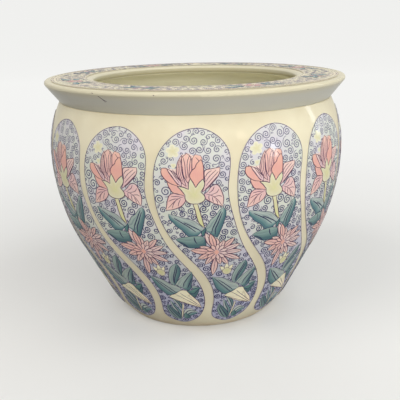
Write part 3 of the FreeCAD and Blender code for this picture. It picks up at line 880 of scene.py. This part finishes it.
def painted_rim(paints):
    """Border on the flat of the rim: flowers, leaves and scrolls between thin lines."""
    face = rim_face()
    width = face.runs[-1]
    edge_line = width - 6.0
    blades = rim_blades()
    outlines = [blade.outline() for blade in blades]

    def clear(angles, runs):
        return room_beside(face, outlines, angles, runs, np.minimum(runs - 1.0, edge_line - runs))

    random = np.random.default_rng(50)
    scrolls = Strokes(face)
    draw_scrolls(scrolls, (-178.5, 0), (178.5, width), clear, lambda run: 0.1, spacing=6.5,
                 random=random, fine=0.6)
    fills, inks = Strokes(face), Strokes(face)
    for run, thickness in ((0.5, 0.6), (edge_line + 0.5, 0.6), (width - 2.2, 0.7), (width - 0.5, 0.6)):
        inks.line(ring_path(run), thickness, closed=True)
    draw_shapes(fills, inks, blades, fine=0.45)
    build_painting("rim", scrolls, fills, inks, paints, "border_enamel")


def pinholes_in_bead(paints):
    """Two dark pinholes where the glaze crawled off the bead."""
    strokes = Strokes(bead_face())
    for angle in (-34.6, -12.4):
        strokes.line([(angle - 0.2, 0.9), (angle, 1.2), (angle + 0.25, 1.3)], 0.8, tone=0.1)
    strokes.build("glaze_pinholes", [paints["line_ink"]], "glazed_body")


def crack_in_flare(paints):
    """Hairline crack in the glaze under the rim, at the front left, with a fine branch."""
    face = flare_face()
    depth = face.runs[-1]
    strokes = Strokes(face)
    crack = [(-32.6, 0.03), (-32.1, 0.1), (-31.5, 0.19), (-31.1, 0.25), (-30.2, 0.33)]
    branch = [(-31.5, 0.19), (-31.2, 0.3), (-30.9, 0.38)]
    for path, count, width, lift in ((crack, 24, 0.9, 0.03), (branch, 10, 0.3, -0.03)):
        strokes.line(smooth_curve(np.array(path) * [1, depth], count), width, lift, 0.3)
    strokes.build("glaze_crack", [paints["line_ink"]], "glazed_body")


def wire(tree, socket, value):
    """Give a socket a plain value, or link it from another socket."""
    if isinstance(value, bpy.types.NodeSocket):
        tree.links.new(value, socket)
    else:
        socket.default_value = value


def add_node(tree, kind, inputs=None, **settings):
    """New shader node with its settings and inputs. Returns its outputs."""
    made = tree.nodes.new("ShaderNode" + kind)
    for name, value in settings.items():
        setattr(made, name, value)
    for name, value in (inputs or {}).items():
        wire(tree, made.inputs[name], value)
    return made.outputs


def ramp(tree, source, *stops):
    """Colour ramp through (place, colour) stops."""
    made = tree.nodes.new("ShaderNodeValToRGB")
    wire(tree, made.inputs["Fac"], source)
    line = made.color_ramp
    while len(line.elements) < len(stops):
        line.elements.new(1)
    for element, (place, colour) in zip(line.elements, stops):
        element.position = place
        element.color = colour
    return made.outputs["Color"]


# Places of the colour sockets on a mix node: factor, two colours and the result.
MIX_FACTOR, MIX_FIRST, MIX_SECOND, MIX_RESULT = 0, 6, 7, 2


def blend_colours(tree, factor, first, second):
    """Mix of two colours."""
    inputs = {MIX_FACTOR: factor, MIX_FIRST: first, MIX_SECOND: second}
    return add_node(tree, "Mix", inputs, data_type="RGBA")[MIX_RESULT]


def maths(tree, operation, first, second=0.0, third=0.0, clamp=False):
    """One step of arithmetic."""
    inputs = {0: first, 1: second, 2: third}
    return add_node(tree, "Math", inputs, operation=operation, use_clamp=clamp)["Value"]


def product(tree, *factors):
    """Masks multiplied together."""
    result = factors[0]
    for factor in factors[1:]:
        result = maths(tree, "MULTIPLY", result, factor)
    return result


def vector_maths(tree, operation, first, second=(0.0, 0.0, 0.0)):
    """One step of arithmetic with vectors. Returns the node's outputs."""
    return add_node(tree, "VectorMath", {0: first, 1: second}, operation=operation)


def fade(tree, value, start, end, full=1.0, least=0.0, **settings):
    """Mask that rises from the least at the start to full at the end."""
    inputs = {"Value": value, "From Min": start, "From Max": end, "To Min": least, "To Max": full}
    return add_node(tree, "MapRange", inputs, **settings)["Result"]


def height_in(tree):
    """Height over the foot."""
    place = add_node(tree, "TexCoord")["Object"]
    return add_node(tree, "SeparateXYZ", {"Vector": place})["Z"]


def new_group(name, inputs, outputs):
    """Empty node group of plain values. Returns it with the sockets that it reads and those that it fills."""
    group = bpy.data.node_groups.new(name, "ShaderNodeTree")
    for label, usual in inputs.items():
        socket = group.interface.new_socket(label, in_out="INPUT", socket_type="NodeSocketFloat")
        socket.default_value = usual
    for label in outputs:
        group.interface.new_socket(label, in_out="OUTPUT", socket_type="NodeSocketFloat")
    return group, group.nodes.new("NodeGroupInput").outputs, group.nodes.new("NodeGroupOutput").inputs


def kiln_mottle_group():
    """Slow drift of a fired surface: a colour mask, a roughness and a height."""
    usual = {"Patch": 25.0, "Grain": 900.0, "Gloss": 0.12, "Spread": 0.08}
    group, given, result = new_group("kiln_mottle", usual, ["Mask", "Roughness", "Height"])
    place = add_node(group, "TexCoord")["Object"]
    patches = add_node(group, "TexNoise", {"Vector": place, "Scale": given["Patch"], "Detail": 4.0,
                                           "Roughness": 0.55})["Fac"]
    grain = add_node(group, "TexNoise", {"Vector": place, "Scale": given["Grain"], "Detail": 2.0})["Fac"]
    wire(group, result["Mask"], patches)
    wire(group, result["Roughness"], maths(group, "MULTIPLY_ADD", patches, given["Spread"], given["Gloss"]))
    wire(group, result["Height"], maths(group, "MULTIPLY_ADD", grain, 0.25, patches))
    return group


def brush_streaks_group():
    """Streaks that a loaded brush leaves, with how far along and across the stroke they are, and its tone."""
    group, given, result = new_group("brush_streaks", {"Across Scale": 5.0, "Along Scale": 1.2},
                                     ["Along", "Across", "Tone", "Streak"])
    stroke = add_node(group, "Attribute", attribute_name="brush")["Vector"]
    parts = add_node(group, "SeparateXYZ", {"Vector": stroke})
    spot = add_node(group, "CombineXYZ", {
        "X": maths(group, "MULTIPLY", parts["X"], given["Along Scale"]),
        "Y": maths(group, "MULTIPLY", parts["Y"], given["Across Scale"]),
        "Z": maths(group, "MULTIPLY", parts["Z"], 17.0),
    })["Vector"]
    noise = add_node(group, "TexNoise", {"Vector": spot, "Scale": 1.6, "Detail": 3.0, "Roughness": 0.6})
    for label, source in zip(("Along", "Across", "Tone", "Streak"), (*parts, noise["Fac"])):
        wire(group, result[label], source)
    return group


def place_group(tree, group, **inputs):
    """Put a shared group into a material with its own values. Returns its outputs."""
    inputs = {name.replace("_", " "): value for name, value in inputs.items()}
    return add_node(tree, "Group", inputs, node_tree=group)


def new_material(name):
    """Material with an empty node tree. Returns it with the tree and the inputs of its Principled shader."""
    material = bpy.data.materials.new(name)
    material.use_nodes = True
    tree = material.node_tree
    tree.nodes.clear()
    output = tree.nodes.new("ShaderNodeOutputMaterial")
    shader = tree.nodes.new("ShaderNodeBsdfPrincipled")
    tree.links.new(shader.outputs["BSDF"], output.inputs["Surface"])
    return material, tree, shader.inputs


def finish_fired(tree, shader, colour, surface, depth, strength):
    """Wire a colour and a fired surface to the shader."""
    bump = add_node(tree, "Bump", {"Strength": strength, "Distance": depth, "Height": surface["Height"]})
    wire(tree, shader["Base Color"], colour)
    wire(tree, shader["Roughness"], surface["Roughness"])
    wire(tree, shader["Normal"], bump["Normal"])


def finish_glossy(tree, shader, colour, surface, depth):
    """Fired surface whose gloss is all that of the clear glaze on top."""
    finish_fired(tree, shader, colour, surface, depth, 0.35)
    shader["Specular IOR Level"].default_value = 0.0
    shader["Coat Weight"].default_value = 0.4
    shader["Coat IOR"].default_value = 2.0
    shader["Coat Roughness"].default_value = 0.06


# Where painted shade goes on the glaze, in metres over the foot and out from the axis: the flare under the
# bead, the top of the rim, and the low part of the inner lip.
FLARE_FOOT = 0.2258
FLARE_RADIUS = 0.137
FLARE_TOP = (0.2432, 0.2422)
RIM_TOP = (0.238, 0.243)
LIP_FOOT = 0.2395
LIP_RADIUS = 0.1075
LIP_TOP = (0.2452, 0.2438)
# Part of the outward way at which a face counts as turned inwards: start and full.
TURNED_IN = (-0.02, -0.07)


def ivory_glaze(mottle):
    """Clear glaze over cream porcelain: paler inside as painted light, greyer on the flare and browner on rim
    and lip as painted shade.
    """
    material, tree, shader = new_material("ivory_glaze")
    surface = place_group(tree, mottle, Patch=14.0, Grain=700.0, Gloss=0.12, Spread=0.1)
    outside = ramp(tree, surface["Mask"], (0.3, srgb(216, 204, 172)), (0.6, srgb(228, 219, 190)))
    # Painted light: the inside of the pot gets a paler glaze colour, so that its wall, which the lamps barely
    # reach, shows brighter.
    inside_painted_light = ramp(tree, surface["Mask"], (0.3, srgb(240, 236, 212)), (0.7, srgb(246, 243, 222)))
    solid = add_node(tree, "NewGeometry")
    level = vector_maths(tree, "MULTIPLY", solid["Position"], (1.0, 1.0, 0.0))["Vector"]
    facing = vector_maths(tree, "DOT_PRODUCT", level, solid["Normal"])["Value"]
    radius = vector_maths(tree, "LENGTH", level)["Value"]
    height = height_in(tree)
    colour = blend_colours(tree, fade(tree, facing, *TURNED_IN), outside, inside_painted_light)
    # Painted shade: the flare under the bead, which faces down away from the lamps, is painted greyer.
    flare = product(tree, maths(tree, "GREATER_THAN", height, FLARE_FOOT),
                    maths(tree, "GREATER_THAN", radius, FLARE_RADIUS), fade(tree, height, *FLARE_TOP))
    colour = blend_colours(tree, flare, colour, srgb(200, 198, 186))
    # Painted shade: the top of the rim, its bead and the lip are painted browner, so that they show less
    # bright under the lamps from above.
    colour = blend_colours(tree, fade(tree, height, *RIM_TOP, 0.8), colour, srgb(206, 198, 170))
    # Painted shade: the low part of the inner lip is painted darker, where the lip shades the wall below it.
    lip_shade = product(tree, maths(tree, "LESS_THAN", radius, LIP_RADIUS),
                     maths(tree, "GREATER_THAN", height, LIP_FOOT), fade(tree, height, *LIP_TOP))
    colour = blend_colours(tree, lip_shade, colour, srgb(176, 168, 136))
    place = add_node(tree, "TexCoord")["Object"]
    specks = add_node(tree, "TexVoronoi", {"Vector": place, "Scale": 70.0})
    chance = add_node(tree, "SeparateColor", {"Color": specks["Color"]})["Red"]
    pinhole = product(tree, maths(tree, "LESS_THAN", specks["Distance"], 0.035),
                      maths(tree, "GREATER_THAN", chance, 0.86))
    colour = blend_colours(tree, pinhole, colour, srgb(120, 104, 78))
    finish_glossy(tree, shader, colour, surface, 0.0004)
    return material


def bare_clay(mottle):
    """Unglazed foot: pale fired clay with sandy grain."""
    material, tree, shader = new_material("bare_clay")
    surface = place_group(tree, mottle, Patch=60.0, Grain=1800.0, Gloss=0.7, Spread=0.25)
    colour = ramp(tree, surface["Mask"], (0.3, srgb(214, 198, 168)), (0.7, srgb(232, 220, 196)))
    finish_fired(tree, shader, colour, surface, 0.0006, 0.8)
    return material


def painted_ground(name, mottle, pale, tinged, deep):
    """Thin wash of enamel under the scrolls, in patches of two tints, deeper towards the foot."""
    material, tree, shader = new_material(name)
    surface = place_group(tree, mottle, Patch=38.0, Grain=1100.0, Gloss=0.14, Spread=0.12)
    wash = ramp(tree, surface["Mask"], (0.38, pale), (0.62, tinged))
    low = fade(tree, height_in(tree), 0.13, 0.03, 0.85)
    finish_glossy(tree, shader, blend_colours(tree, low, wash, deep), surface, 0.0003)
    return material


def ink(name, mottle, streaks, slope, light, dark):
    """Brushed ink, thinner and lighter where the brush runs dry."""
    material, tree, shader = new_material(name)
    surface = place_group(tree, mottle, Patch=120.0, Grain=1500.0, Gloss=0.2, Spread=0.15)
    brush = place_group(tree, streaks)
    patchy = maths(tree, "MULTIPLY_ADD", surface["Mask"], 0.6, -0.2)
    load = maths(tree, "MULTIPLY_ADD", brush["Tone"], slope, patchy, clamp=True)
    finish_glossy(tree, shader, blend_colours(tree, load, light, dark), surface, 0.0002)
    return material


def petal_colour(tree, brush):
    """Rose or salmon by the tone, greyer at the petal's base."""
    rose = ramp(tree, brush["Along"], (0.0, srgb(210, 184, 198)), (0.45, srgb(228, 204, 202)),
                (1.0, srgb(236, 216, 204)))
    salmon = ramp(tree, brush["Along"], (0.0, srgb(230, 177, 157)), (0.5, srgb(228, 168, 153)),
                  (1.0, srgb(230, 181, 157)))
    return blend_colours(tree, brush["Tone"], rose, salmon)


def leaf_colour(tree, brush):
    """Grey-green or teal by the tone, washed out along one side of each leaf."""
    side = maths(tree, "MULTIPLY_ADD", brush["Across"], 0.45, 0.5)
    pale = ramp(tree, side, (0.05, srgb(216, 218, 208)), (0.45, srgb(196, 208, 200)),
                (0.75, srgb(108, 150, 148)), (0.95, srgb(66, 110, 124)))
    deep = ramp(tree, side, (0.05, srgb(104, 150, 136)), (0.5, srgb(62, 116, 114)),
                (0.95, srgb(34, 74, 84)))
    return blend_colours(tree, brush["Tone"], pale, deep)


def cream_colour(tree, brush):
    """Cream to yellow-green of the calyx, the stems, the bud and the furled leaf, paler at the tips."""
    richer = maths(tree, "ADD", brush["Tone"], 0.15)
    fading = maths(tree, "MULTIPLY_ADD", brush["Along"], -0.35, richer)
    return ramp(tree, fading, (0.0, srgb(240, 222, 194)), (0.3, srgb(250, 241, 210)),
                (0.5, srgb(222, 218, 190)), (0.72, srgb(218, 210, 168)), (1.0, srgb(212, 212, 148)))


def brushed_enamel(name, mottle, streaks, colour, gloss, across, along, streak_mask, streak_colour):
    """Enamel with streaks of another colour. Their mask is where they start and are full, and their share."""
    material, tree, shader = new_material(name)
    surface = place_group(tree, mottle, Patch=90.0, Grain=1500.0, Gloss=gloss, Spread=0.12)
    brush = place_group(tree, streaks, Across_Scale=across, Along_Scale=along)
    streak = fade(tree, brush["Streak"], *streak_mask)
    streaked = blend_colours(tree, streak, colour(tree, brush), streak_colour)
    finish_glossy(tree, shader, streaked, surface, 0.0002)
    return material


def dress_solids(paints):
    """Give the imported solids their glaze, clay and painted ground."""
    own = {"foot_ring": "clay", "rim_border": "border_ground"}
    for name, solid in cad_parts.items():
        usual = "panel_ground" if name.startswith("panel_") else "glaze"
        solid.data.materials.clear()
        solid.data.materials.append(paints[own.get(name, usual)])


# The photo's viewpoint: millimetres and degrees.
CAMERA_DISTANCE = 681.7
CAMERA_ABOVE_RIM = 63.6
CAMERA_ORBIT = 0.5
CAMERA_YAW = 0.23
CAMERA_PITCH = 16.33
CAMERA_ROLL = -1.22
LENS = 58.47


def photo_camera():
    """Camera where the photo was taken from."""
    yaw, pitch, roll = (math.radians(angle) for angle in (CAMERA_YAW, CAMERA_PITCH, CAMERA_ROLL))
    orbit = Matrix.Rotation(math.radians(CAMERA_ORBIT), 3, "Z")
    level_way = (math.sin(yaw) * math.cos(pitch), math.cos(yaw) * math.cos(pitch), -math.sin(pitch))
    ahead = orbit @ Vector(level_way)
    level = ahead.cross(Vector((0, 0, 1))).normalized()
    over = level.cross(ahead)
    side = math.cos(roll) * level + math.sin(roll) * over
    top = math.cos(roll) * over - math.sin(roll) * level
    height = cad_box[1].z + CAMERA_ABOVE_RIM * MM
    place = orbit @ Vector((0, -CAMERA_DISTANCE * MM, 0)) + Vector((0, 0, height))
    data = bpy.data.cameras.new("photo_camera")
    data.lens = LENS
    camera = bpy.data.objects.new("photo_camera", data)
    camera.matrix_world = Matrix.Translation(place) @ Matrix((side, top, -ahead)).transposed().to_4x4()
    bpy.context.scene.collection.objects.link(camera)
    bpy.context.scene.camera = camera


DAYLIGHT = (1.0, 0.99, 0.97)
# Lamps: place, height that they face on the pot's axis, width, height, power and colour.
SOFT_LAMPS = {
    "key_lamp": ((0.6, -2.35, 1.15), 0.12, 2.6, 1.7, 42.5, DAYLIGHT),
    "fill_lamp": ((-1.5, -1.1, 2.3), 0.12, 1.8, 1.4, 31, DAYLIGHT),
    "top_lamp": ((0.75, -0.6, 1.7), 0.12, 0.8, 0.8, 8, (1.0, 1.0, 0.98)),
    "side_lamp": ((1.6, 0.0, 1.6), 0.14, 0.8, 1.0, 5, (0.8, 0.92, 1.0)),
    "low_lamp": ((1.6, -1.5, 0.12), 0.2, 1.0, 0.2, 6.5, (0.94, 0.97, 1.0)),
    "back_lamp": ((0.0, 2.2, 1.2), 0.12, 2.0, 1.2, 24, DAYLIGHT),
}
# Small lamps that show as glints in the glaze.
GLINT_LAMPS = {
    "window_lamp": ((1.56, 0.36, 0.6), 0.18, 0.15, 0.75, 1.2, (0.86, 0.93, 1.0)),
    "pane_lamp": ((1.45, -0.94, 0.3), 0.18, 0.17, 0.35, 0.9, (0.84, 0.92, 1.0)),
    "bulb_lamp": ((0.92, -1.35, 0.79), 0.18, 0.2, 0.2, 0.3, (1.0, 0.84, 0.6)),
}


def area_lamp(name, mirrored, place, aim_height, width, height, power, colour):
    """Rectangular lamp that faces the pot. Only a mirrored one shows as a glint in the glaze."""
    data = bpy.data.lights.new(name, "AREA")
    data.shape = "RECTANGLE"
    data.size = width
    data.size_y = height
    data.energy = power
    data.color = colour
    lamp = bpy.data.objects.new(name, data)
    lamp.location = place
    lamp.visible_glossy = mirrored
    lamp.rotation_mode = "QUATERNION"
    lamp.rotation_quaternion = (Vector((0, 0, aim_height)) - Vector(place)).to_track_quat("-Z", "Y")
    bpy.context.scene.collection.objects.link(lamp)


def seen_directly(tree):
    """Mask of what the camera sees, straight or in a mirror or through glass."""
    rays = add_node(tree, "LightPath")
    seen = maths(tree, "MAXIMUM", rays["Is Camera Ray"], rays["Is Glossy Ray"])
    return maths(tree, "MAXIMUM", seen, rays["Is Transmission Ray"])


def pale_floor():
    """Finish of the floor: it keeps the pot's shadow near it and fades to an even pale backdrop."""
    material, tree, shader = new_material("pale_floor")
    seen = seen_directly(tree)
    colour = blend_colours(tree, seen, srgb(142, 140, 136), srgb(226, 225, 222))
    distance = vector_maths(tree, "LENGTH", add_node(tree, "TexCoord")["Object"])["Value"]
    away = fade(tree, distance, 0.12, 0.9, least=0.2, interpolation_type="SMOOTHSTEP")
    shown = product(tree, away, seen)
    wire(tree, shader["Emission Strength"], shown)
    wire(tree, shader["Base Color"], blend_colours(tree, shown, colour, (0, 0, 0, 1)))
    shader["Emission Color"].default_value = srgb(238, 238, 236)
    shader["Roughness"].default_value = 0.9
    return material


def backdrop():
    """Floor that curves up into a backdrop behind the pot."""
    front, start, curve, top, half_width = -3.0, 2.4, 0.9, 3.5, 4.0
    steps = 12
    rows = [(front, 0.0)]
    for step in range(steps + 1):
        turn = math.radians(90 * step / steps)
        rows.append((start + curve * math.sin(turn), curve * (1 - math.cos(turn))))
    rows.append((start + curve, top))
    points = [(x, y, z) for y, z in rows for x in (-half_width, half_width)]
    faces = [(2 * i, 2 * i + 1, 2 * i + 3, 2 * i + 2) for i in range(len(rows) - 1)]
    mesh = bpy.data.meshes.new("floor")
    mesh.from_pydata(points, [], faces)
    mesh.polygons.foreach_set("use_smooth", [True] * len(faces))
    mesh.materials.append(pale_floor())
    floor = bpy.data.objects.new("floor", mesh)
    bpy.context.scene.collection.objects.link(floor)


def studio():
    """Backdrop, soft lamps and an even sky that is dimmer on the pot than to the eye."""
    backdrop()
    for name, lamp in SOFT_LAMPS.items():
        area_lamp(name, False, *lamp)
    for name, lamp in GLINT_LAMPS.items():
        area_lamp(name, True, *lamp)
    world = bpy.data.worlds.new("studio")
    bpy.context.scene.world = world
    world.use_nodes = True
    tree = world.node_tree
    sky = tree.nodes["Background"].inputs
    sky["Color"].default_value = (1, 1, 1, 1)
    wire(tree, sky["Strength"], maths(tree, "MULTIPLY_ADD", seen_directly(tree), 0.7, 0.2))


def main():
    """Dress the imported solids, lay the enamel on them, and set up the camera and the studio."""
    mottle = kiln_mottle_group()
    streaks = brush_streaks_group()
    paints = {
        "glaze": ivory_glaze(mottle),
        "clay": bare_clay(mottle),
        "panel_ground": painted_ground("panel_ground", mottle, srgb(209, 212, 199), srgb(207, 202, 209),
                                       srgb(168, 169, 200)),
        "border_ground": painted_ground("border_ground", mottle, srgb(221, 213, 178), srgb(219, 205, 177),
                                        srgb(219, 209, 177)),
        "scroll_ink": ink("scroll_ink", mottle, streaks, 2.1, srgb(124, 121, 138), srgb(31, 32, 88)),
        "line_ink": ink("line_ink", mottle, streaks, 0.9, srgb(94, 54, 76), srgb(18, 30, 74)),
        "petal": brushed_enamel("petal_enamel", mottle, streaks, petal_colour, 0.15, 4.5, 1.4,
                                (0.42, 0.62, 0.3), srgb(216, 150, 154)),
        "leaf": brushed_enamel("leaf_enamel", mottle, streaks, leaf_colour, 0.14, 4.0, 1.0,
                               (0.4, 0.65, 0.5), srgb(44, 78, 98)),
        "cream": brushed_enamel("cream_enamel", mottle, streaks, cream_colour, 0.15, 3.0, 1.0,
                                (0.45, 0.65, 0.3), srgb(200, 198, 150)),
    }
    dress_solids(paints)
    face = panel_face()
    outline = panel_outline(face)
    for number in range(1, PANEL_COUNT + 1):
        painted_panel(number, face, outline, paints)
    painted_rim(paints)
    crack_in_flare(paints)
    pinholes_in_bead(paints)
    photo_camera()
    studio()
    bpy.context.scene.view_settings.view_transform = "Standard"


main()
